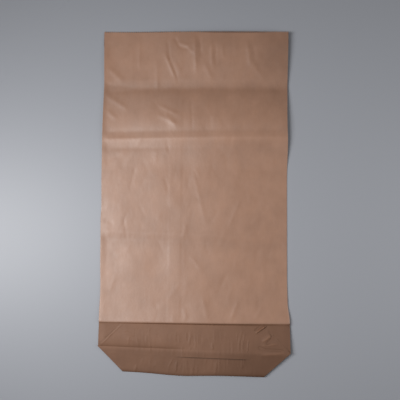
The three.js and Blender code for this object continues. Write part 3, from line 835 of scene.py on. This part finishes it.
def cockled(relief, from_edge):
    return np.maximum(relief, DEEPEST) * ease(from_edge, 0, COCKLE_FADE)


def flap_ends(x, left, right):
    """The share of its thickness that a flap shows, less at its pasted-down ends."""
    at_left, at_right, fade = END_SHOWN
    shown = at_left + (1 - at_left) * ease(x - left, 0, fade)
    return np.minimum(shown, at_right + (1 - at_right) * ease(right - x, 0, fade))


def lower_flap_place(u, v):
    left, right = np.interp(v, *LOWER_FLAP_LEFT), np.interp(v, *LOWER_FLAP_RIGHT)
    x = left + (right - left) * u
    y = lower_fold(x) + (free_edge(x) + OVERLAP - lower_fold(x)) * v
    relief = cockles(x, y, COCKLES["seed"], LOWER_COCKLE_Y, LOWER_COCKLES)
    inside = np.minimum.reduce([x - left, right - x, y - lower_fold(x)])
    drop = fold_edge(np.maximum(y - lower_fold(x), 0), EAR_THICKNESS, LOWER_FOLD_REACH)
    step = FLAP_THICKNESS * flap_ends(x, left, right)
    top = ear_top(x, y) + step - drop + cockled(relief, inside)
    # A painted shadow along the upper flap's free edge.
    free_edge_shadow = FREE_EDGE_PAINTED_SHADOW["wear"] * hill(y, free_edge(x) - FREE_EDGE_PAINTED_SHADOW["below"], FREE_EDGE_PAINTED_SHADOW["spread"])
    return x, y, top, np.full_like(x, FLAP_THICKNESS), free_edge_shadow * free_edge_shown(x)


def upper_flap_place(u, v):
    left, right = np.interp(v, *UPPER_FLAP_LEFT), np.interp(v, *UPPER_FLAP_RIGHT)
    x = left + (right - left) * u
    y = free_edge(x) + (upper_fold(x) - free_edge(x)) * v
    relief = cockles(x, y, COCKLES["seed"] + 1, UPPER_COCKLE_Y, UPPER_COCKLES)
    inside = np.minimum.reduce([x - left, right - x, upper_fold(x) - y])
    drop = fold_edge(np.maximum(upper_fold(x) - y, 0), EAR_THICKNESS)
    on_lower = 1 - ease(y - free_edge(x), *FREE_EDGE_FADE)
    step = FLAP_THICKNESS + (PASTED_STEP + FREE_EDGE_STEP * free_edge_shown(x)) * on_lower
    step = step * flap_ends(x, left, right)
    top = ear_top(x, y) + step - drop + cockled(relief, inside)
    return x, y, top, np.full_like(x, FLAP_THICKNESS), np.zeros_like(x)


finish_piece("lower_flap", paper_sheet(LOWER_FLAP_COLUMNS, LOWER_FLAP_ROWS, lower_flap_place), PASTED)
finish_piece("upper_flap", paper_sheet(UPPER_FLAP_COLUMNS, UPPER_FLAP_ROWS, upper_flap_place), PASTED)

# ---- The table and the light --------------------------------------------------------------
# A plain pale grey table, a soft light from the left, a weaker one from the right, and dim
# light from all round.
FLOOR_SIZE = 6.0
FLOOR_COLOUR = (0.40, 0.415, 0.455)
FLOOR_ROUGHNESS = 0.42
KEY_PLACE = Vector((-1.20, -0.10, 1.60))
LIGHT_AIM = Vector((0.0, -0.10, 0.0))
KEY_SIZE = (0.6, 1.3)
KEY_SPREAD = math.radians(90.0)
KEY_POWER = 8.65
FILL_PLACE = Vector((1.80, -0.10, 1.00))
FILL_SIZE = (1.2, 1.2)
FILL_SPREAD = math.radians(180.0)
FILL_POWER = 10.0
SKY_COLOUR = (1.0, 0.98, 0.96)
SKY_STRENGTH = 0.12

floor_mesh = bmesh.new()
bmesh.ops.create_grid(floor_mesh, x_segments=1, y_segments=1, size=FLOOR_SIZE / 2)
floor_data = bpy.data.meshes.new("table")
floor_mesh.to_mesh(floor_data)
floor_mesh.free()
table = bpy.data.objects.new("table", floor_data)
bpy.context.scene.collection.objects.link(table)
floor_material = bpy.data.materials.new("pale_table")
floor_material.use_nodes = True
floor_shader = floor_material.node_tree.nodes["Principled BSDF"]
floor_shader.inputs["Base Color"].default_value = (*FLOOR_COLOUR, 1.0)
floor_shader.inputs["Roughness"].default_value = FLOOR_ROUGHNESS
floor_data.materials.append(floor_material)


def softbox(name, place, size, spread, power):
    light = bpy.data.lights.new(name, "AREA")
    light.shape = "RECTANGLE"
    light.size, light.size_y = size
    light.spread = spread
    light.energy = power
    lamp = bpy.data.objects.new(name, light)
    turn = (LIGHT_AIM - place).to_track_quat("-Z", "Y").to_matrix().to_4x4()
    lamp.matrix_world = Matrix.Translation(place) @ turn
    bpy.context.scene.collection.objects.link(lamp)


softbox("key_softbox", KEY_PLACE, KEY_SIZE, KEY_SPREAD, KEY_POWER)
softbox("fill_softbox", FILL_PLACE, FILL_SIZE, FILL_SPREAD, FILL_POWER)

sky = bpy.data.worlds.new("soft_room")
sky.use_nodes = True
sky_light = sky.node_tree.nodes["Background"]
sky_light.inputs["Color"].default_value = (*SKY_COLOUR, 1.0)
sky_light.inputs["Strength"].default_value = SKY_STRENGTH
bpy.context.scene.world = sky
